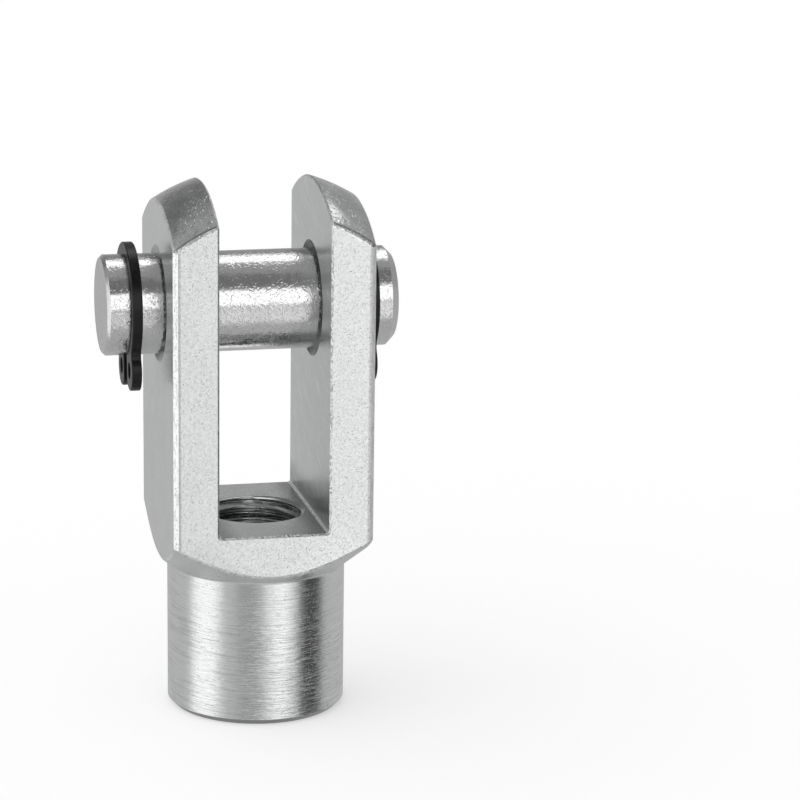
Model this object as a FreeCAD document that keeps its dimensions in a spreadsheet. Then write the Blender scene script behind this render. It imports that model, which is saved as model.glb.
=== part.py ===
import FreeCAD, Part
import math
import os
import Sketcher

# Clevis rod end for a 10 mm pin and an M10 rod, in millimetres and degrees.
# X runs along the pin, Y through the slot and Z up the rod's axis.
# The origin is the middle of the shank's flat end, where the rod screws in.

# Driving sizes
SIZES = {
    # Square bar that the fork is cut from
    "bar_width": 20.0,
    "corner_chamfer": 0.45,
    # Turned lower end: shank, neck and conical shoulder
    "shoulder_step": 1.0,
    "shank_length": 14.9,
    "shank_chamfer": 0.6,
    "shoulder_angle": 39.0,
    "neck_fillet": 0.3,
    # Heights above the shank: slot's floor, then pin, then tips of the ears
    "floor_rise": 5.1,
    "pin_rise": 21.7,
    "ear_reach": 12.25,
    # Turned dome over the ears, and the slot between them
    "dome_radius": 19.0,
    "slot_width": 11.0,
    "slot_corner_fillet": 0.3,
    "edge_break": 0.2,
    # Tapped hole from the shank's end to the slot's floor
    "thread_diameter": 10.0,
    "thread_pitch": 1.25,
    "thread_mouth_gap": 0.05,
    "thread_mouth_angle": 120.0,
    # Pin, and its hole through both ears
    "pin_diameter": 10.0,
    "pin_clearance": 0.08,
    "pin_hole_chamfer": 0.75,
    "pin_end": 2.3,
    "left_end_chamfer": 0.3,
    "right_end_chamfer": 0.75,
    # Play between the rings and the ears, of which the right side shows this much
    "pin_play": 2.6,
    "right_play": 0.25,
    # Retaining rings, and the grooves that they snap into
    "groove_depth": 0.2,
    "ring_seat_gap": 0.03,
    "ring_side_gap": 0.05,
    "ring_thickness": 1.0,
    "ring_band": 1.3,
    "ring_offset": 0.05,
    "ring_gap": 2.2,
    "ring_edge_break": 0.08,
    "ring_turn": 6.8,
    "lug_angle": 22.5,
    "lug_inset": 2.0,
    "lug_radius": 2.0,
    "lug_hole_diameter": 1.6,
    "lug_fillet": 1.0,
}

# Sizes that follow from the driving ones
DERIVED = {
    "half_bar": "=bar_width / 2",
    "half_slot": "=slot_width / 2",
    "bar_corner_radius": "=half_bar * sqrt(2)",
    "shank_radius": "=half_bar - shoulder_step",
    "shank_end_radius": "=shank_radius - shank_chamfer",
    "shoulder_top": "=shank_length + (bar_corner_radius - shank_radius) * tan(shoulder_angle)",
    "slot_floor_height": "=shank_length + floor_rise",
    "pin_height": "=slot_floor_height + pin_rise",
    "ear_height": "=pin_height + ear_reach",
    "dome_centre": "=ear_height - sqrt(dome_radius ^ 2 - half_slot ^ 2)",
    "dome_top": "=dome_centre + dome_radius",
    "dome_edge": "=dome_centre + sqrt(dome_radius ^ 2 - bar_corner_radius ^ 2)",
    "stock_height": "=dome_top + half_bar",
    "cutter_top": "=dome_top + bar_width",
    "through_cut": "=bar_width * 2",
    "core_diameter": "=thread_diameter - 1.0825 * thread_pitch",
    "core_radius": "=core_diameter / 2",
    "mouth_diameter": "=thread_diameter + 2 * thread_mouth_gap",
    "floor_flat": "=half_slot - slot_corner_fillet - thread_mouth_gap",
    "floor_mouth_chamfer": "=min(mouth_diameter / 2; floor_flat) - core_radius",
    "floor_mouth_depth": "=floor_mouth_chamfer / tan(thread_mouth_angle / 2)",
    "pin_radius": "=pin_diameter / 2",
    "pin_hole_radius": "=pin_radius + pin_clearance",
    "right_ring_start": "=half_bar + right_play",
    "left_ring_start": "=right_ring_start - bar_width - pin_play - ring_thickness",
    "pin_start": "=left_ring_start - pin_end",
    "pin_length": "=right_ring_start + ring_thickness + pin_end - pin_start",
    "groove_radius": "=pin_radius - groove_depth",
    "groove_start": "=pin_end - ring_side_gap",
    "groove_end": "=pin_end + ring_thickness + ring_side_gap",
    "groove_spacing": "=right_ring_start - left_ring_start",
    "ring_bore_radius": "=groove_radius + ring_seat_gap",
    "ring_radius": "=ring_bore_radius + ring_band",
    "half_ring_gap": "=ring_gap / 2",
    "lug_hole_reach": "=ring_bore_radius + lug_inset",
    "lug_across": "=lug_hole_reach * sin(lug_angle)",
    "lug_down": "=lug_hole_reach * cos(lug_angle)",
    "lug_hole_radius": "=lug_hole_diameter / 2",
    "lug_end": "=lug_hole_reach + 2 * lug_radius",
}

NEAR = 1e-4

doc = FreeCAD.newDocument("ClevisRodEnd")
sheet = doc.addObject("Spreadsheet::Sheet", "Sizes")
for row, (alias, value) in enumerate({**SIZES, **DERIVED}.items(), start=1):
    sheet.set(f"A{row}", alias)
    sheet.set(f"B{row}", str(value))
    sheet.setAlias(f"B{row}", alias)
doc.recompute()


def size(alias):
    return float(getattr(sheet, alias))


def new_body(name):
    body = doc.addObject("PartDesign::Body", name)
    body.Label = name
    return body


def new_sketch(body, name, plane):
    sketch = body.newObject("Sketcher::SketchObject", name)
    origin_plane = next(part for part in body.Origin.OriginFeatures if part.Role == plane)
    sketch.AttachmentSupport = [(origin_plane, "")]
    sketch.MapMode = "FlatFace"
    return sketch


# Where a point of a sketch lies, from the origin: a size, minus a size, or nothing for on the axis
def coordinate(name):
    if not name:
        return 0.0
    return -size(name[1:]) if name.startswith("-") else size(name)


def bind(sketch, constraint, alias):
    index = sketch.addConstraint(constraint)
    sketch.setExpression(f"Constraints[{index}]", f"Sizes.{alias}")


def locate(sketch, geometry, point, across, up):
    for kind, name, axis in (("DistanceX", across, -2), ("DistanceY", up, -1)):
        if not name:
            sketch.addConstraint(Sketcher.Constraint("PointOnObject", geometry, point, axis))
            continue
        ends = (geometry, point, -1, 1) if name.startswith("-") else (-1, 1, geometry, point)
        bind(sketch, Sketcher.Constraint(kind, *ends, abs(coordinate(name))), name.lstrip("-"))


def draw_outline(sketch, corners):
    spots = [FreeCAD.Vector(coordinate(across), coordinate(up), 0) for across, up in corners]
    count = len(spots)
    for index in range(count):
        sketch.addGeometry(Part.LineSegment(spots[index], spots[(index + 1) % count]))
    for index in range(count):
        sketch.addConstraint(Sketcher.Constraint("Coincident", index, 2, (index + 1) % count, 1))
    for index, (across, up) in enumerate(corners):
        locate(sketch, index, 1, across, up)


def draw_circle(sketch, across, up, radius):
    centre = FreeCAD.Vector(coordinate(across), coordinate(up), 0)
    index = sketch.addGeometry(Part.Circle(centre, FreeCAD.Vector(0, 0, 1), size(radius)))
    if across or up:
        locate(sketch, index, 3, across, up)
    else:
        sketch.addConstraint(Sketcher.Constraint("Coincident", index, 3, -1, 1))
    bind(sketch, Sketcher.Constraint("Radius", index, size(radius)), radius)


def add_feature(body, kind, name, profile):
    feature = body.newObject("PartDesign::" + kind, name)
    feature.Profile = profile
    body.Tip = feature
    return feature


def pad(body, name, sketch, length):
    feature = add_feature(body, "Pad", name, sketch)
    feature.setExpression("Length", f"Sizes.{length}")
    doc.recompute()
    return feature


# Cuts a sketch right through, as far to each side of its plane
def cut_through(body, name, sketch):
    feature = add_feature(body, "Pocket", name, sketch)
    feature.SideType = "Symmetric"
    feature.setExpression("Length", "Sizes.through_cut")
    doc.recompute()
    return feature


# Turns a sketch about one of its own axes and cuts what it sweeps
def turn_away(body, name, sketch, axis):
    feature = add_feature(body, "Groove", name, sketch)
    feature.ReferenceAxis = (sketch, [axis])
    feature.Angle = 360
    doc.recompute()
    return feature


def edge_names(feature, wanted):
    return [f"Edge{number}" for number, edge in enumerate(feature.Shape.Edges, start=1) if wanted(edge)]


def soften(body, kind, name, base, wanted, amount):
    feature = body.newObject("PartDesign::" + kind, name)
    feature.Base = (base, edge_names(base, wanted))
    feature.setExpression("Size" if kind == "Chamfer" else "Radius", f"Sizes.{amount}")
    body.Tip = feature
    doc.recompute()
    return feature


def is_circle(edge, radius):
    return isinstance(edge.Curve, Part.Circle) and abs(edge.Curve.Radius - radius) < NEAR


def runs_along(edge, axis):
    if not isinstance(edge.Curve, Part.Line):
        return False
    return abs(abs(edge.Curve.Direction.dot(axis)) - 1) < NEAR


def middle(edge):
    return edge.valueAt((edge.FirstParameter + edge.LastParameter) / 2)


ALONG_X = FreeCAD.Vector(1, 0, 0)
ALONG_Y = FreeCAD.Vector(0, 1, 0)
ALONG_Z = FreeCAD.Vector(0, 0, 1)


# The fork starts as a length of square bar with its corners chamfered
def cut_bar(body):
    sketch = new_sketch(body, "BarSection", "XY_Plane")
    draw_outline(sketch, [
        ("-half_bar", "-half_bar"),
        ("half_bar", "-half_bar"),
        ("half_bar", "half_bar"),
        ("-half_bar", "half_bar"),
    ])
    bar = pad(body, "Bar", sketch, "stock_height")
    return soften(body, "Chamfer", "BarCorners", bar, lambda edge: runs_along(edge, ALONG_Z), "corner_chamfer")


# The lower end is turned to a shank and a cone, which leaves an arch on each flat of the bar
def turn_shank(body):
    sketch = new_sketch(body, "ShankTurning", "XZ_Plane")
    draw_outline(sketch, [
        ("shank_end_radius", ""),
        ("bar_corner_radius", ""),
        ("bar_corner_radius", "shoulder_top"),
        ("shank_radius", "shank_length"),
        ("shank_radius", "shank_chamfer"),
    ])
    turned = turn_away(body, "Shank", sketch, "V_Axis")

    def at_neck(edge):
        return is_circle(edge, size("shank_radius")) and abs(middle(edge).z - size("shank_length")) < NEAR

    return soften(body, "Fillet", "Neck", turned, at_neck, "neck_fillet")


# The tips of both ears are turned together to one dome, centred on the rod's axis
def turn_dome(body):
    sketch = new_sketch(body, "DomeTurning", "XZ_Plane")
    centre = FreeCAD.Vector(0, size("dome_centre"), 0)
    top = FreeCAD.Vector(0, size("dome_top"), 0)
    edge_spot = FreeCAD.Vector(size("bar_corner_radius"), size("dome_edge"), 0)
    start = math.atan2(edge_spot.y - centre.y, edge_spot.x)
    dome = Part.ArcOfCircle(Part.Circle(centre, FreeCAD.Vector(0, 0, 1), size("dome_radius")), start, math.pi / 2)
    outer = FreeCAD.Vector(size("bar_corner_radius"), size("cutter_top"), 0)
    inner = FreeCAD.Vector(0, size("cutter_top"), 0)
    sketch.addGeometry([
        dome,
        Part.LineSegment(top, inner),
        Part.LineSegment(inner, outer),
        Part.LineSegment(outer, edge_spot),
    ])
    sketch.addConstraint([
        Sketcher.Constraint("Coincident", 0, 2, 1, 1),
        Sketcher.Constraint("Coincident", 1, 2, 2, 1),
        Sketcher.Constraint("Coincident", 2, 2, 3, 1),
        Sketcher.Constraint("Coincident", 3, 2, 0, 1),
        Sketcher.Constraint("PointOnObject", 1, 1, -2),
        Sketcher.Constraint("Vertical", 1),
        Sketcher.Constraint("Horizontal", 2),
        Sketcher.Constraint("Vertical", 3),
    ])
    locate(sketch, 0, 3, "", "dome_centre")
    bind(sketch, Sketcher.Constraint("Radius", 0, size("dome_radius")), "dome_radius")
    bind(sketch, Sketcher.Constraint("DistanceX", -1, 1, 2, 2, size("bar_corner_radius")), "bar_corner_radius")
    bind(sketch, Sketcher.Constraint("DistanceY", -1, 1, 2, 2, size("cutter_top")), "cutter_top")
    return turn_away(body, "Dome", sketch, "V_Axis")


# The slot leaves two ears, with a small fillet along each side of its floor
def mill_slot(body):
    sketch = new_sketch(body, "SlotSection", "XZ_Plane")
    draw_outline(sketch, [
        ("-half_slot", "slot_floor_height"),
        ("half_slot", "slot_floor_height"),
        ("half_slot", "cutter_top"),
        ("-half_slot", "cutter_top"),
    ])
    slot = cut_through(body, "Slot", sketch)

    def at_floor(edge):
        return runs_along(edge, ALONG_Y) and abs(middle(edge).z - size("slot_floor_height")) < NEAR \
            and abs(abs(middle(edge).x) - size("half_slot")) < NEAR

    return soften(body, "Fillet", "SlotCorners", slot, at_floor, "slot_corner_fillet")


# One hole goes through both ears, countersunk at all four of its mouths
def drill_ears(body):
    sketch = new_sketch(body, "PinHoleSection", "YZ_Plane")
    draw_circle(sketch, "", "pin_height", "pin_hole_radius")
    holes = cut_through(body, "PinHole", sketch)
    return soften(body, "Chamfer", "PinHoleMouths", holes,
                  lambda edge: is_circle(edge, size("pin_hole_radius")), "pin_hole_chamfer")


# The rod's hole has its thread's core diameter, countersunk at the shank's end and at the slot's floor
def drill_shank(body):
    sketch = new_sketch(body, "RodHoleCentre", "XY_Plane")
    draw_circle(sketch, "", "", "shank_end_radius")
    doc.recompute()
    hole = add_feature(body, "Hole", "RodHole", sketch)
    doc.recompute()
    hole.Reversed = True
    hole.DepthType = "ThroughAll"
    hole.ThreadType = "None"
    hole.HoleCutType = "Countersink"
    hole.setExpression("Diameter", "Sizes.core_diameter")
    hole.setExpression("HoleCutDiameter", "Sizes.mouth_diameter")
    hole.setExpression("HoleCutCountersinkAngle", "Sizes.thread_mouth_angle")
    doc.recompute()

    def at_floor(edge):
        return is_circle(edge, size("core_radius")) and middle(edge).z > size("shank_length")

    mouth = soften(body, "Chamfer", "RodHoleMouth", hole, at_floor, "floor_mouth_chamfer")
    mouth.ChamferType = "Two distances"
    mouth.setExpression("Size2", "Sizes.floor_mouth_depth")
    doc.recompute()
    return mouth


# Every sharp edge that the dome, the slot and the cone leave is broken
def break_edges(body, base):
    half_bar = size("half_bar")
    half_slot = size("half_slot")

    def on_face(value, distance):
        return abs(abs(value) - distance) < NEAR

    def is_sharp(edge):
        spot = middle(edge)
        is_arc = isinstance(edge.Curve, Part.Circle)
        on_dome = is_arc and abs(edge.Curve.Center.z - size("dome_centre")) < NEAR
        on_cone = isinstance(edge.Curve, Part.Hyperbola)
        slot_side = runs_along(edge, ALONG_Z) and on_face(spot.x, half_slot)
        slot_floor = runs_along(edge, ALONG_X) and abs(spot.z - size("slot_floor_height")) < NEAR
        slot_corner = is_circle(edge, size("slot_corner_fillet"))
        slot_mouth = (slot_side or slot_floor or slot_corner) and on_face(spot.y, half_bar)
        return on_dome or on_cone or slot_mouth

    return soften(body, "Chamfer", "EdgeBreaks", base, is_sharp, "edge_break")


def make_fork():
    body = new_body("fork")
    cut_bar(body)
    turn_shank(body)
    turn_dome(body)
    mill_slot(body)
    drill_ears(body)
    break_edges(body, drill_shank(body))
    return body


# The pin is turned, with a groove near each end that a ring snaps into
def make_pin():
    body = new_body("pin")
    section = new_sketch(body, "PinSection", "YZ_Plane")
    draw_circle(section, "", "", "pin_radius")
    rod = pad(body, "PinRod", section, "pin_length")

    def at_left(edge):
        return is_circle(edge, size("pin_radius")) and middle(edge).x < NEAR

    def at_right(edge):
        return is_circle(edge, size("pin_radius")) and middle(edge).x > size("pin_length") - NEAR

    left_end = soften(body, "Chamfer", "LeftEnd", rod, at_left, "left_end_chamfer")
    soften(body, "Chamfer", "RightEnd", left_end, at_right, "right_end_chamfer")
    sketch = new_sketch(body, "GrooveSection", "XZ_Plane")
    draw_outline(sketch, [
        ("groove_start", "groove_radius"),
        ("groove_end", "groove_radius"),
        ("groove_end", "pin_diameter"),
        ("groove_start", "pin_diameter"),
    ])
    groove = turn_away(body, "RingGroove", sketch, "H_Axis")
    pattern = body.newObject("PartDesign::LinearPattern", "RingGrooves")
    pattern.Originals = [groove]
    pattern.Direction = (sketch, ["H_Axis"])
    pattern.Occurrences = 2
    pattern.setExpression("Length", "Sizes.groove_spacing")
    body.Tip = pattern
    body.setExpression(".Placement.Base.x", "Sizes.pin_start")
    body.setExpression(".Placement.Base.z", "Sizes.pin_height")
    doc.recompute()
    return body


# A ring is a flat eccentric band that tapers towards its gap, with a drilled lug on each side of the gap
def make_ring(name, start):
    body = new_body(name)
    band = new_sketch(body, "Band", "YZ_Plane")
    draw_circle(band, "", "ring_offset", "ring_radius")
    disc = pad(body, "Disc", band, "ring_thickness")
    lug = new_sketch(body, "LugSection", "YZ_Plane")
    draw_circle(lug, "-lug_across", "-lug_down", "lug_radius")
    lug_pad = pad(body, "Lug", lug, "ring_thickness")
    lugs = body.newObject("PartDesign::Mirrored", "Lugs")
    lugs.Originals = [lug_pad]
    lugs.MirrorPlane = (lug, ["V_Axis"])
    body.Tip = lugs
    doc.recompute()

    def beside_lug(edge):
        return runs_along(edge, ALONG_X) and abs(middle(edge).y) > size("lug_across")

    soften(body, "Fillet", "LugRoots", lugs, beside_lug, "lug_fillet")
    bore = new_sketch(body, "BoreSection", "YZ_Plane")
    draw_circle(bore, "", "", "ring_bore_radius")
    draw_circle(bore, "-lug_across", "-lug_down", "lug_hole_radius")
    draw_circle(bore, "lug_across", "-lug_down", "lug_hole_radius")
    cut_through(body, "Holes", bore)
    gap = new_sketch(body, "GapSection", "YZ_Plane")
    draw_outline(gap, [
        ("-half_ring_gap", "-lug_end"),
        ("half_ring_gap", "-lug_end"),
        ("half_ring_gap", ""),
        ("-half_ring_gap", ""),
    ])
    opened = cut_through(body, "Gap", gap)

    def on_flat(edge):
        return min(abs(middle(edge).x), abs(middle(edge).x - size("ring_thickness"))) < NEAR

    soften(body, "Chamfer", "RingEdges", opened, on_flat, "ring_edge_break")
    # The lugs hang down and lean a little to the front
    body.Placement.Rotation = FreeCAD.Rotation(-ALONG_X, size("ring_turn"))
    body.setExpression(".Placement.Rotation.Angle", "Sizes.ring_turn")
    body.setExpression(".Placement.Base.x", f"Sizes.{start}")
    body.setExpression(".Placement.Base.z", "Sizes.pin_height")
    doc.recompute()
    return body


bodies = [
    make_fork(),
    make_pin(),
    make_ring("left_ring", "left_ring_start"),
    make_ring("right_ring", "right_ring_start"),
]

doc.recompute()
for item in doc.Objects:
    if "Invalid" in item.State or "Error" in item.State:
        raise RuntimeError(f"{item.Name} failed: {item.State}")
for body in bodies:
    if body.Shape.isNull() or not body.Shape.isValid() or len(body.Shape.Solids) != 1:
        raise RuntimeError(f"{body.Label} is not one valid solid")

os.makedirs("parts", exist_ok=True)
for body in bodies:
    body.Shape.exportStep(f"parts/{body.Label}.step")
    box = body.Shape.BoundBox
    print(f"{body.Label}: volume {body.Shape.Volume:.1f} mm3, "
          f"x {box.XMin:.2f} to {box.XMax:.2f}, y {box.YMin:.2f} to {box.YMax:.2f}, z {box.ZMin:.2f} to {box.ZMax:.2f}")
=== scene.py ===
import math
import bmesh
import bpy
from mathutils import Matrix, Vector


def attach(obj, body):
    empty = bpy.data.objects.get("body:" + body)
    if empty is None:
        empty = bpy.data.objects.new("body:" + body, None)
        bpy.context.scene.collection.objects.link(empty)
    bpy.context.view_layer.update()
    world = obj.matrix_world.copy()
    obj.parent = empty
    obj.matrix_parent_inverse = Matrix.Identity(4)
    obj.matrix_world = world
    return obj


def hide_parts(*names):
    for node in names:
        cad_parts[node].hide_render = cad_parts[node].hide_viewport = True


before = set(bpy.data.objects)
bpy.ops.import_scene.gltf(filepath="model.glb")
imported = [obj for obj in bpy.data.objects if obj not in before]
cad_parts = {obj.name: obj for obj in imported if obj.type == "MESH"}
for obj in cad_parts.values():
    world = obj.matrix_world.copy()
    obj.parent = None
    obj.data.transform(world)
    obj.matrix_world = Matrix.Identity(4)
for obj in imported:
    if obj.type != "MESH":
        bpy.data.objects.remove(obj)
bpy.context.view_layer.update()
mm = 0.001
print("frame loaded")


class Wire:
    # One output of a node, so that shader maths reads as plain expressions
    def __init__(self, finish, socket):
        self.finish = finish
        self.socket = socket

    def maths(self, operation, first, second=0.0):
        return self.finish.maths(operation, first, second)

    def __add__(self, other):
        return self.maths("ADD", self, other)

    def __sub__(self, other):
        return self.maths("SUBTRACT", self, other)

    def __mul__(self, other):
        return self.maths("MULTIPLY", self, other)

    def __truediv__(self, other):
        return self.maths("DIVIDE", self, other)

    def __rsub__(self, other):
        return self.maths("SUBTRACT", other, self)

    def __rtruediv__(self, other):
        return self.maths("DIVIDE", other, self)

    def __abs__(self):
        return self.maths("ABSOLUTE", self)

    __radd__ = __add__
    __rmul__ = __mul__


class Finish:
    # A material or the world, and the nodes that make its look
    def __init__(self, owner):
        owner.use_nodes = True
        self.owner = owner
        self.tree = owner.node_tree
        self.tree.nodes.clear()

    # Any node: its type, its settings, then the values or links of its sockets
    def node(self, kind, settings=None, sockets=None, output=0):
        made = self.tree.nodes.new(kind)
        for name, value in (settings or {}).items():
            setattr(made, name, value)
        for key, value in (sockets or {}).items():
            if isinstance(value, Wire):
                self.tree.links.new(value.socket, made.inputs[key])
            else:
                made.inputs[key].default_value = value
        return Wire(self, made.outputs[output])

    def maths(self, operation, first, second=0.0):
        return self.node("ShaderNodeMath", {"operation": operation}, {0: first, 1: second})

    # The object's own coordinates, in millimetres
    def place(self):
        spot = self.node("ShaderNodeTexCoord", output="Object")
        return self.node("ShaderNodeVectorMath", {"operation": "SCALE"}, {0: spot, "Scale": 1 / mm})

    def axes(self, vector):
        made = self.node("ShaderNodeSeparateXYZ", None, {0: vector}).socket.node
        return [Wire(self, socket) for socket in made.outputs]

    # Noise that can be turned and drawn out: bigger sizes give longer grain
    def grain(self, place, sizes, turn=(0, 0, 0), detail=3.0, rough=0.6):
        scales = [1 / size for size in sizes]
        turned = self.node("ShaderNodeMapping", {"vector_type": "TEXTURE"},
                           {"Vector": place, "Rotation": [math.radians(angle) for angle in turn]})
        drawn = self.node("ShaderNodeVectorMath", {"operation": "MULTIPLY"}, {0: turned, 1: scales})
        return self.node("ShaderNodeTexNoise", None,
                         {"Vector": drawn, "Scale": 1.0, "Detail": detail, "Roughness": rough})

    def ramp(self, value, low, high, fromLevel=0.0, toLevel=1.0):
        return self.node("ShaderNodeMapRange", {"interpolation_type": "SMOOTHSTEP"},
                         {"Value": value, "From Min": low, "From Max": high,
                          "To Min": fromLevel, "To Max": toLevel})

    def tint(self, factor, dark, light):
        return self.node("ShaderNodeMix", {"data_type": "RGBA"},
                         {"Factor": factor, 6: (*dark, 1.0), 7: (*light, 1.0)}, output=2)

    # Relief from a height in millimetres
    def bump(self, height):
        return self.node("ShaderNodeBump", None, {"Height": height, "Distance": mm, "Strength": 1.0})

    def close(self, shader, kind):
        made = self.tree.nodes.new(kind)
        self.tree.links.new(shader.socket, made.inputs["Surface"])
        return self.owner


def newFinish(name):
    return Finish(bpy.data.materials.new(name))


# Camera, as it stood for the photograph: degrees, millimetres, and pixels of the picture.
# Only the clip distances are in metres
photoCamera = {
    "azimuth": 10.81,
    "elevation": 14.74,
    "roll": 0.17,
    "distance": 318.5,
    "aim": (0.0, 0.0, 26.2),
    "focalPixels": 3159.5,
    "picturePixels": 800,
    "principalPixel": (256, 450),
    "sensor": 36.0,
    "clip": (0.01, 10.0),
}


def makeCamera():
    look = photoCamera
    azimuth = math.radians(look["azimuth"])
    elevation = math.radians(look["elevation"])
    roll = math.radians(look["roll"])
    ahead = Vector((math.sin(azimuth) * math.cos(elevation), math.cos(azimuth) * math.cos(elevation),
                    -math.sin(elevation)))
    right = Vector((math.cos(azimuth), -math.sin(azimuth), 0))
    up = right.cross(ahead)
    rolledRight = right * math.cos(roll) + up * math.sin(roll)
    rolledUp = up * math.cos(roll) - right * math.sin(roll)
    data = bpy.data.cameras.new("photoCamera")
    data.sensor_width = look["sensor"]
    data.lens = look["focalPixels"] / look["picturePixels"] * look["sensor"]
    middle = look["picturePixels"] / 2
    data.shift_x = (middle - look["principalPixel"][0]) / look["picturePixels"]
    data.shift_y = (look["principalPixel"][1] - middle) / look["picturePixels"]
    data.clip_start, data.clip_end = look["clip"]
    camera = bpy.data.objects.new("photoCamera", data)
    turn = Matrix((rolledRight, rolledUp, -ahead)).transposed().to_4x4()
    spot = (Vector(look["aim"]) - ahead * look["distance"]) * mm
    camera.matrix_world = Matrix.Translation(spot) @ turn
    bpy.context.scene.collection.objects.link(camera)
    bpy.context.scene.camera = camera


makeCamera()
print("camera made")

# The studio: the tent's radius is in metres, and the tent fades from its low level to its high one between
# two heights. A panel has an aim, half of its size and the softness of its edges, each as across and up, in
# degrees: across is from the front, positive to the right, and up is above the horizon
studio = {
    "tentRadius": 0.7,
    "tentSegments": (48, 24),
    "tentLow": 0.50,
    "tentHigh": 0.36,
    "fade": (0.0, 16.0),
    "panelSide": (0.0, 0.05),  # keeps a panel off the far side of the tent
    "panels": {
        "leftBox": {"aim": (-80, -2), "half": (20, 38), "soft": (22, 22), "level": 1.12},
        "frontBox": {"aim": (16, 20), "half": (20, 17), "soft": (5, 5), "level": 1.55},
        "frontTop": {"aim": (25, 57), "half": (36, 15), "soft": (10, 10), "level": 0.20},
        "frontTable": {"aim": (22.5, -20), "half": (11.5, 18), "soft": (30, 14), "level": 1.15},
        "backBox": {"aim": (156, 57), "half": (18, 13), "soft": (9, 9), "level": 2.0},
        "backCard": {"aim": (-160, 38), "half": (24, 18), "soft": (16, 16), "level": 0.18},
        "darkCard": {"aim": (66, -5), "half": (17, 50), "soft": (16, 16), "level": 0.06},
        "darkCamera": {"aim": (-19, -5), "half": (15, 34), "soft": (12, 12), "level": 0.34},
    },
}


def stageObject(name, shape, cloth):
    mesh = bpy.data.meshes.new(name)
    shape.to_mesh(mesh)
    shape.free()
    mesh.materials.append(cloth)
    piece = bpy.data.objects.new(name, mesh)
    bpy.context.scene.collection.objects.link(piece)
    return piece


# A white tent round the object, with brighter boxes and darker cards that the metal mirrors
def makeTent():
    finish = newFinish("tentCloth")
    spot = finish.node("ShaderNodeTexCoord", output="Object")
    direction = finish.node("ShaderNodeVectorMath", {"operation": "NORMALIZE"}, {0: spot})
    across, along, up = finish.axes(direction)
    fade = [math.sin(math.radians(angle)) for angle in studio["fade"]]
    level = finish.ramp(up, *fade, studio["tentLow"], studio["tentHigh"])
    for panel in studio["panels"].values():
        angle, height = [math.radians(degrees) for degrees in panel["aim"]]
        centre = Vector((math.sin(angle) * math.cos(height), -math.cos(angle) * math.cos(height),
                         math.sin(height)))
        side = Vector((math.cos(angle), math.sin(angle), 0))
        ahead, sideways, upward = [
            across * axis.x + along * axis.y + up * axis.z for axis in (centre, side, centre.cross(side))
        ]
        inside = finish.ramp(ahead, *studio["panelSide"])
        for reach, half, soft in zip((sideways, upward), panel["half"], panel["soft"]):
            edges = [math.tan(math.radians(half + sign * soft / 2)) for sign in (-1, 1)]
            inside = inside * finish.ramp(abs(reach / ahead), *edges, 1.0, 0.0)
        level = level + inside * (panel["level"] - level)
    glow = finish.node("ShaderNodeEmission", None, {"Strength": level})
    shape = bmesh.new()
    around, upright = studio["tentSegments"]
    bmesh.ops.create_uvsphere(shape, u_segments=around, v_segments=upright, radius=studio["tentRadius"])
    tent = stageObject("tent", shape, finish.close(glow, "ShaderNodeOutputMaterial"))
    tent.visible_camera = False
    tent.visible_diffuse = False
    tent.visible_shadow = False
    tent.visible_transmission = False


# The floor, in metres, and the light on it. The lean is how much more light comes from the left
floorLook = {
    "reach": 3.0,
    "segments": 64,
    "colour": (0.80, 0.80, 0.80),
    "glow": 0.44,
    "worldLight": 0.70,
    "lean": 0.55,
}


def makeFloor():
    finish = newFinish("paleFloor")
    base = finish.node("ShaderNodeBsdfDiffuse", None, {"Color": (*floorLook["colour"], 1.0)})
    lit = finish.node("ShaderNodeEmission", None, {"Strength": floorLook["glow"]})
    both = finish.node("ShaderNodeAddShader", None, {0: base, 1: lit})
    shape = bmesh.new()
    bmesh.ops.create_circle(shape, cap_ends=True, segments=floorLook["segments"], radius=floorLook["reach"])
    floor = stageObject("floor", shape, finish.close(both, "ShaderNodeOutputMaterial"))
    floor.visible_glossy = False


# White where it is seen or mirrored, and otherwise the light on the object and the floor
def makeWorld():
    world = bpy.data.worlds.new("studioWorld")
    bpy.context.scene.world = world
    finish = Finish(world)
    lightPath = finish.tree.nodes.new("ShaderNodeLightPath")
    seen = [Wire(finish, lightPath.outputs[name]) for name in
            ("Is Camera Ray", "Is Glossy Ray", "Is Transmission Ray")]
    across = finish.axes(finish.node("ShaderNodeTexCoord", output="Generated"))[0]
    lit = floorLook["worldLight"] * (1.0 - across * floorLook["lean"])
    direct = finish.ramp(seen[0] + seen[1] + seen[2], 0.0, 1.0)
    strength = lit + direct * (1.0 - lit)
    glow = finish.node("ShaderNodeBackground", None, {"Color": (1, 1, 1, 1), "Strength": strength})
    finish.close(glow, "ShaderNodeOutputWorld")


makeTent()
makeFloor()
makeWorld()
bpy.context.scene.view_settings.view_transform = "Standard"
print("studio made")

# The tapped hole's thread, in millimetres: cut right through from below the base to above the slot's floor.
# Its groove is given as radii, each with half of the groove's width there, and a turn has so many stations
thread = {
    "pitch": 1.25,
    "halfWidths": [(4.20, 0.615), (4.30, 0.56), (4.36, 0.47), (4.44, 0.402), (4.96, 0.10), (5.00, 0.05)],
    "from": -2.0,
    "to": 22.0,
    "stations": 72,
}


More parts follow.
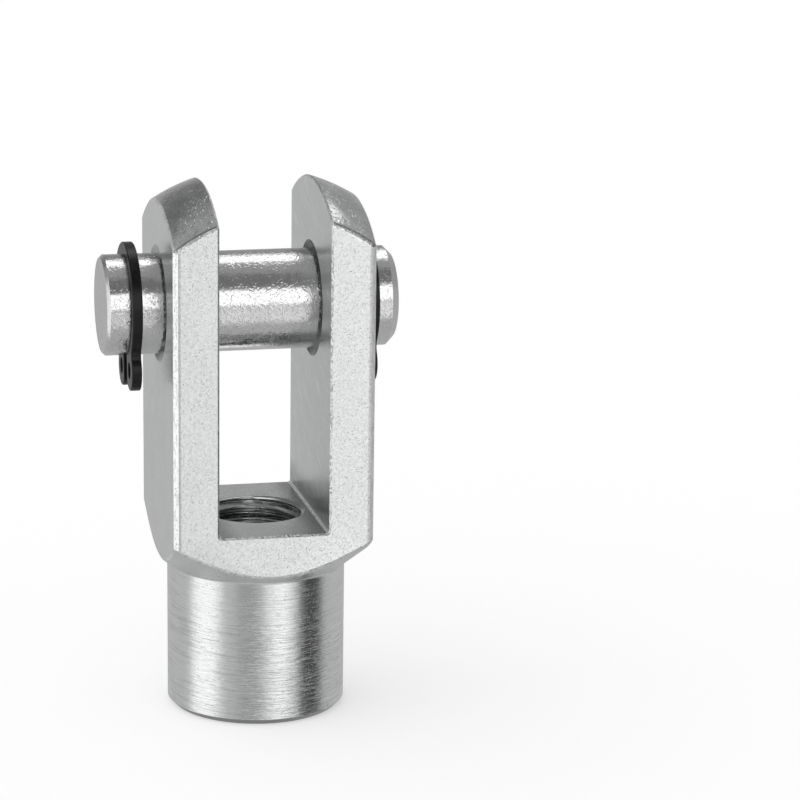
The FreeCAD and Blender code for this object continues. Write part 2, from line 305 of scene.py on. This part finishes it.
def tapShape():
    pitch = thread["pitch"]
    rising = [(-half, radius) for radius, half in thread["halfWidths"]]
    profile = rising + [(half, radius) for radius, half in reversed(thread["halfWidths"])]
    turn = thread["stations"]
    last = round((thread["to"] - thread["from"]) / pitch) * turn
    shape = bmesh.new()
    rows = []
    for station in range(last + 1):
        angle = 2 * math.pi * station / turn
        rise = thread["from"] + pitch * station / turn
        rows.append([
            shape.verts.new((radius * math.cos(angle) * mm, radius * math.sin(angle) * mm,
                             (rise + step) * mm))
            for step, radius in profile
        ])
    for station in range(last):
        row, after = rows[station], rows[station + 1]
        for low in range(len(profile) - 1):
            shape.faces.new((row[low], after[low], after[low + 1], row[low + 1]))
        if station + turn < last:
            shape.faces.new((row[-1], after[-1], rows[station + 1 + turn][0], rows[station + turn][0]))
    lowRim = [row[0] for row in rows[:turn + 1]] + rows[0][:0:-1]
    highRim = [row[-1] for row in rows[last - turn:]] + rows[last][-2::-1]
    for rim, height in ((lowRim, thread["from"] - pitch), (highRim, thread["to"] + 2 * pitch)):
        tip = shape.verts.new((0, 0, height * mm))
        for first, second in zip(rim, rim[1:] + rim[:1]):
            shape.faces.new((first, second, tip))
    bmesh.ops.recalc_face_normals(shape, faces=shape.faces)
    mesh = bpy.data.meshes.new("tap")
    shape.to_mesh(mesh)
    shape.free()
    return mesh


# The fork's heights and reaches, in millimetres, by which its faces are told apart. Edges sharper than the
# sharp angle, in degrees, stay sharp, and the tone is the plating's faint tint
forkLook = {
    "sideHalf": 10.0,
    "earMiddle": 7.75,
    "floorHeight": 20.0,
    "pinHeight": 41.7,
    "boreRadius": 5.85,
    "neckHeight": 15.2,
    "footHeight": 1.0,
    "threadRadius": 5.02,
    "cornerReach": 12.0,
    "lipRise": 0.5,
    "near": 0.1,
    "touching": 0.01,
    "weld": 1e-7,  # metres
    "sharpAngle": 32.0,
    "tone": (0.981, 1.0, 0.993),
}

# How far a face's normal leans along an axis, from 0 to 1. A face made by turning leans less than radial
# away from the plane through the rod's axis
leans = {
    "square": 0.99,
    "steep": 0.90,
    "half": 0.50,
    "slight": 0.30,
    "turned": 0.10,
    "radial": 0.06,
    "upright": 0.01,
}


# Which surface of the fork a face belongs to, from where it is and which way it looks
def faceKind(spot, normal):
    fromAxis = math.hypot(spot.x, spot.y)
    fromPin = math.hypot(spot.y, spot.z - forkLook["pinHeight"])
    twist = abs(normal.x * spot.y - normal.y * spot.x) / fromAxis
    if fromAxis < forkLook["threadRadius"] and spot.z < forkLook["floorHeight"] - forkLook["touching"]:
        return "thread"
    if spot.z < forkLook["neckHeight"]:
        return "shadedFoot" if normal.z < -leans["turned"] and spot.z < forkLook["footHeight"] else "shank"
    if fromPin < forkLook["boreRadius"] and abs(normal.x) < leans["steep"]:
        if abs(normal.x) < leans["slight"]:
            return "shadedBore"
        return "collar" if abs(spot.x) > forkLook["earMiddle"] else "shadedMouth"
    if abs(normal.y) > leans["square"]:
        return "front"
    if abs(normal.x) > leans["square"]:
        return "side" if abs(spot.x) > forkLook["sideHalf"] - forkLook["near"] else "wall"
    if normal.z > leans["square"]:
        return "floor"
    if twist < leans["radial"] and normal.z > leans["turned"]:
        return "dome"
    if twist < leans["radial"] and normal.z < -leans["turned"]:
        return "shoulder"
    if abs(normal.z) < leans["upright"] and fromAxis > forkLook["cornerReach"]:
        return "corner"
    if normal.z > leans["half"] and abs(spot.z - forkLook["floorHeight"]) < forkLook["lipRise"]:
        return "lip"
    return "edge"


# A copy of a CAD node whose faces share their corners, so that the tap can cut it
def weldedCopy(node, name):
    shape = bmesh.new()
    shape.from_mesh(node.data)
    bmesh.ops.remove_doubles(shape, verts=shape.verts, dist=forkLook["weld"])
    shape.verts.ensure_lookup_table()
    mesh = bpy.data.meshes.new(name)
    mesh.from_pydata([vert.co.copy() for vert in shape.verts], [],
                     [[vert.index for vert in face.verts] for face in shape.faces])
    shape.free()
    piece = bpy.data.objects.new(name, mesh)
    bpy.context.scene.collection.objects.link(piece)
    return piece


# Makes a piece's modifiers part of its mesh
def settle(piece):
    made = bpy.data.meshes.new_from_object(piece.evaluated_get(bpy.context.evaluated_depsgraph_get()))
    piece.modifiers.clear()
    piece.data = made


def makeFork(finishes):
    piece = weldedCopy(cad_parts["fork"], "threadedFork")
    tap = bpy.data.objects.new("tap", tapShape())
    bpy.context.scene.collection.objects.link(tap)
    cut = piece.modifiers.new("tapping", "BOOLEAN")
    cut.operation = "DIFFERENCE"
    cut.solver = "EXACT"
    cut.object = tap
    settle(piece)
    bpy.data.objects.remove(tap)
    mesh = piece.data
    mesh.materials.clear()
    kinds = list(finishes)
    for kind in kinds:
        mesh.materials.append(finishes[kind])
    for face in mesh.polygons:
        face.material_index = kinds.index(faceKind(face.center / mm, face.normal))
        face.use_smooth = True
    mesh.set_sharp_from_angle(angle=math.radians(forkLook["sharpAngle"]))
    threadFaces = [face for face in mesh.polygons if face.material_index == kinds.index("thread")]
    inThread = {index for face in threadFaces for index in face.vertices}
    for edge in mesh.edges:
        if inThread.issuperset(edge.vertices):
            edge.use_edge_sharp = False
    evened = piece.modifiers.new("evenShading", "WEIGHTED_NORMAL")
    evened.keep_sharp = True
    settle(piece)
    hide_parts("fork")
    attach(piece, "fork")


# Finishes of the zinc-plated fork, sizes in millimetres and turns in degrees:
# cloud is how far the tone drifts, and peel is the plating's fine waviness, its size and depth;
# pits have a size, a start and a shade, and a higher start leaves fewer of them;
# lines are tool lines and scratches: turn, grain along each axis, start, depth and tone;
# curls are hair-like marks: turn, size, thickness, start, depth and tone;
# rim is painted shade: it darkens the colour along an axis (0 for X to 2 for Z) from one distance to
# another, by so much, for dark edge lines and shade in corners and gaps;
# calm fades the marks between two heights to the share that is left above
zincLook = {
    "front": {"base": 0.96, "rough": 0.25, "cloud": 0.06, "peel": (0.5, 0.005), "pits": (0.12, 0.66, 0.26),
              "lines": [((0, 52, 0), (0.55, 0.5, 0.085), 0.54, 0.003, 0.13),
                        ((0, -48, 0), (0.50, 0.5, 0.085), 0.54, 0.003, -0.14),
                        ((0, 15, 0), (0.50, 0.5, 0.085), 0.57, 0.003, 0.10)],
              "curls": [((40, 20, 0), 0.40, 0.10, 0.50, 0.002, -0.12)],
              # The rim is a painted dark line along the front faces' outer border, by the corner chamfer
              "rim": (0, 9.20, 9.45, 0.32)},
    "side": {"base": 0.83, "rough": 0.22, "cloud": 0.08, "peel": (0.6, 0.002), "pits": (0.12, 0.69, 0.25),
             "lines": [((0, 0, 0), (0.5, 2.5, 0.10), 0.54, 0.001, -0.06),
                       ((64, 0, 0), (0.5, 3.0, 0.09), 0.62, 0.002, 0.10)],
             "curls": [((0, 0, 0), 0.50, 0.09, 0.54, 0.0, -0.05)]},
    "wall": {"base": 0.80, "rough": 0.30, "cloud": 0.05, "peel": (0.5, 0.002), "pits": (0.12, 0.70, 0.2),
             "lines": [((0, 0, 0), (0.5, 2.0, 0.10), 0.56, 0.001, -0.03),
                       ((23, 0, 0), (0.4, 4.0, 0.09), 0.57, 0.004, 0.42)],
             # The rim is painted shade on the wall, darker down towards the slot's floor
             "rim": (2, 23.4, 20.9, 0.42)},
    "floor": {"base": 0.82, "rough": 0.26, "cloud": 0.08, "peel": (0.5, 0.003), "pits": (0.12, 0.66, 0.2),
              "lines": [((0, 0, 0), (0.10, 4.0, 0.5), 0.60, 0.004, 0.14),
                        ((0, 0, 8), (0.10, 3.0, 0.5), 0.58, 0.003, -0.06)],
              # The rim is painted shade on the slot's floor, darker towards the walls
              "rim": (0, 2.8, 5.0, 0.40)},
    "dome": {"base": 0.72, "rough": 0.17, "cloud": 0.20, "peel": (0.9, 0.018), "pits": (0.12, 0.68, 0.3),
             "lines": [((0, 0, 0), (2.0, 2.0, 0.09), 0.58, 0.002, -0.04)],
             "curls": [((0, 0, 0), 0.90, 0.05, 0.50, 0.016, -0.14),
                       ((40, 20, 0), 0.50, 0.09, 0.60, 0.016, 0.0)],
             # The rim is a painted dark line along the dome's front arc, where it meets the front face
             "rim": (1, 9.50, 9.75, 0.50)},
    "shoulder": {"base": 0.80, "rough": 0.28, "cloud": 0.06, "peel": (0.35, 0.003),
                 "pits": (0.12, 0.68, 0.2),
                 "lines": [((0, 0, 0), (2.5, 2.5, 0.08), 0.56, 0.003, -0.06)]},
    "shank": {"base": 0.87, "rough": 0.19, "cloud": 0.05, "peel": (1.2, 0.008), "pits": (0.13, 0.67, 0.35),
              "lines": [((0, 0, 0), (3.2, 3.2, 0.18), 0.50, 0.009, 0.0),
                        ((2, 1, 0), (6.0, 6.0, 0.14), 0.56, 0.008, -0.15),
                        ((-1, 1, 0), (4.0, 4.0, 0.45), 0.50, 0.010, -0.04),
                        ((0, 0, 0), (4.0, 4.0, 0.10), 0.54, 0.001, 0.07)],
              "calm": (8.5, 13.5, 0.60)},
    # Painted shade: the low base darkens the bottom chamfer, for the shade where the shank meets the floor
    "shadedFoot": {"base": 0.36, "rough": 0.30, "cloud": 0.05, "peel": (0.6, 0.006), "pits": (0.13, 0.64, 0.4),
             "lines": [((0, 0, 0), (4.0, 4.0, 0.10), 0.54, 0.004, 0.10)]},
    "lip": {"base": 1.0, "rough": 0.25, "cloud": 0.10, "peel": (0.24, 0.30), "pits": (0.40, 0.60, 0.3)},
    "corner": {"base": 0.90, "rough": 0.22, "cloud": 0.05, "peel": (0.5, 0.008), "pits": (0.14, 0.64, 0.4),
               "lines": [((0, 0, 0), (0.25, 0.25, 1.2), 0.54, 0.006, -0.14)],
               "curls": [((0, 0, 0), 0.50, 0.10, 0.48, 0.008, 0.08)]},
    "edge": {"base": 0.95, "rough": 0.28, "cloud": 0.12, "peel": (0.25, 0.06), "pits": (0.45, 0.58, 0.30),
             "curls": [((0, 0, 0), 0.35, 0.12, 0.45, 0.03, 0.2)]},
    # Painted shade: the bore's low base darkens the gap line round the pin
    "shadedBore": {"base": 0.38, "rough": 0.30, "cloud": 0.10, "peel": (0.4, 0.004), "pits": (0.12, 0.66, 0.2),
             "lines": [((0, 0, 0), (0.10, 2.0, 2.0), 0.56, 0.004, -0.08)]},
    # Painted shade: the chamfer round the pin inside the slot, darker than the same chamfer outside (the
    # collar), with painted shade at its top by the rim
    "shadedMouth": {"base": 0.38, "rough": 0.24, "cloud": 0.08, "peel": (0.4, 0.004), "pits": (0.12, 0.66, 0.3),
              "lines": [((0, 0, 0), (0.10, 1.5, 1.5), 0.56, 0.004, -0.08)],
              "rim": (2, 44.5, 46.0, 0.60)},
    "collar": {"base": 0.62, "rough": 0.24, "cloud": 0.08, "peel": (0.4, 0.004), "pits": (0.12, 0.66, 0.3),
               "lines": [((0, 0, 0), (0.10, 1.5, 1.5), 0.56, 0.004, -0.08)]},
    "thread": {"base": 0.50, "rough": 0.16, "cloud": 0.10, "peel": (0.4, 0.003), "pits": (0.12, 0.66, 0.2),
               "lines": [((0, 0, 0), (7.0, 7.0, 0.15), 0.50, 0.010, 0.12)]},
}

# What all metal finishes share: a soft edge is how fast a mark sets in, and a drift follows the cloud
metalGrain = {
    "cloudSize": 3.0,
    "cloudDetail": 4.0,
    "cloudRough": 0.65,
    "cloudGain": 4.0,
    "lineDetail": 2.0,
    "markDetail": 1.0,
    "lineEdge": 0.08,
    "patchShare": 0.8,
    "patchTurn": (20, 50, 70),
    "patchDrift": 0.6,
    "pitEdge": 0.06,
    "pitDepth": 0.01,
    "calmDrift": 6.0,
    "roughDrift": 0.12,
    "pitRough": 0.2,
}
noiseMiddle = 0.5


def metalFinish(name, look, tone=(1.0, 1.0, 1.0)):
    shared = metalGrain
    finish = newFinish(name)
    place = finish.place()
    cloud = finish.grain(place, (shared["cloudSize"],) * 3, detail=shared["cloudDetail"],
                         rough=shared["cloudRough"]) - noiseMiddle
    peelSize, peelDepth = look["peel"]
    height = finish.grain(place, (peelSize,) * 3, detail=shared["lineDetail"]) * peelDepth
    light = 1.0 + cloud * (look["cloud"] * shared["cloudGain"])
    for turn, sizes, start, depth, shade in look.get("lines", []):
        line = finish.grain(place, sizes, turn, detail=shared["lineDetail"])
        line = finish.ramp(line, start, start + shared["lineEdge"])
        height = height - line * depth
        light = light + line * shade
    for turn, size, width, start, depth, shade in look.get("curls", []):
        contour = abs(finish.grain(place, (size,) * 3, turn, detail=shared["markDetail"]) - noiseMiddle)
        patch = finish.grain(place, (size * shared["patchShare"],) * 3, shared["patchTurn"],
                             detail=shared["markDetail"]) + cloud * shared["patchDrift"]
        kept = finish.ramp(patch, start, start + shared["lineEdge"])
        curl = finish.ramp(contour, 0.0, width, 1.0, 0.0) * kept
        height = height + curl * depth
        light = light + curl * shade
    pitSize, pitStart, pitShade = look["pits"]
    pit = finish.grain(place, (pitSize,) * 3, detail=shared["markDetail"])
    pit = finish.ramp(pit, pitStart, pitStart + shared["pitEdge"])
    height = height - pit * shared["pitDepth"]
    if "calm" in look:
        low, high, share = look["calm"]
        kept = finish.ramp(finish.axes(place)[2] + cloud * shared["calmDrift"], low, high, 1.0, share)
        height = height * kept
        light = 1.0 + (light - 1.0) * kept
    # Painted shade: the rim darkens the colour towards edges, corners and the gap round the pin
    if "rim" in look:
        axis, start, end, shade = look["rim"]
        light = light - finish.ramp(abs(finish.axes(place)[axis]), start, end) * shade
    if "facing" in look:
        end, ring = facedEnds(finish, place, look["facing"])
        height = height * (1.0 - end) + ring * end * look["facing"]["depth"]
        light = light + ring * end * look["facing"]["shade"]
    level = (light - pit * pitShade) * look["base"]
    colour = finish.tint(level, (0.0, 0.0, 0.0), tone)
    roughness = look["rough"] + cloud * shared["roughDrift"] + pit * shared["pitRough"]
    if "facing" in look:
        roughness = roughness + end * look["facing"]["rough"]
    shader = finish.node("ShaderNodeBsdfPrincipled", None,
                         {"Base Color": colour, "Metallic": 1.0, "Roughness": roughness,
                          "Normal": finish.bump(height)})
    return finish.close(shader, "ShaderNodeOutputMaterial")


forkFinishes = {
    kind: metalFinish("zinc" + kind.capitalize(), look, forkLook["tone"]) for kind, look in zincLook.items()
}
makeFork(forkFinishes)
print("fork made")

pinLook = {
    "base": 0.71, "rough": 0.14, "cloud": 0.08, "peel": (0.5, 0.010), "pits": (0.12, 0.68, 0.40),
    "lines": [((0, 0, 0), (0.09, 0.5, 0.5), 0.58, 0.002, 0.04)],
    "curls": [((0, 0, 0), 0.55, 0.10, 0.48, 0.009, 0.0), ((40, 20, 0), 0.50, 0.10, 0.54, 0.009, 0.0)],
    "facing": {"starts": (0.90, 0.97), "ringSize": 0.16, "depth": 0.004, "shade": 0.40, "rough": 0.12},
}


# The rings that facing leaves on the pin's flat ends, where the plating's bumps are turned off
def facedEnds(finish, place, facing):
    normal = finish.axes(finish.node("ShaderNodeTexCoord", output="Normal"))
    end = finish.ramp(abs(normal[0]), *facing["starts"])
    across, along, up = finish.axes(place)
    rise = up - forkLook["pinHeight"]
    radius = finish.maths("SQRT", along * along + rise * rise)
    spiral = finish.node("ShaderNodeCombineXYZ", None, {0: radius})
    ring = finish.grain(spiral, (facing["ringSize"], 1.0, 1.0), detail=metalGrain["lineDetail"])
    return end, ring - noiseMiddle


# Black phosphate, worn a little paler in places
ringLook = {
    "colour": (0.004, 0.004, 0.0043),
    "worn": (0.016, 0.016, 0.0165),
    "wornSize": 0.5,
    "wornDetail": 4.0,
    "wornFrom": (0.50, 0.75),
    "rough": 0.30,
    "roughDrift": 0.2,
    "gloss": 0.26,
}


def ringFinish():
    finish = newFinish("ringBlack")
    place = finish.place()
    worn = finish.grain(place, (ringLook["wornSize"],) * 3, detail=ringLook["wornDetail"])
    colour = finish.tint(finish.ramp(worn, *ringLook["wornFrom"]), ringLook["colour"], ringLook["worn"])
    roughness = ringLook["rough"] + (worn - noiseMiddle) * ringLook["roughDrift"]
    shader = finish.node("ShaderNodeBsdfPrincipled", None,
                         {"Base Color": colour, "Metallic": 0.0, "Roughness": roughness,
                          "Specular IOR Level": ringLook["gloss"]})
    return finish.close(shader, "ShaderNodeOutputMaterial")


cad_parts["pin"].material_slots[0].material = metalFinish("pinSteel", pinLook)
ringBlack = ringFinish()
for name in ("left_ring", "right_ring"):
    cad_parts[name].material_slots[0].material = ringBlack
print("pin and rings made")
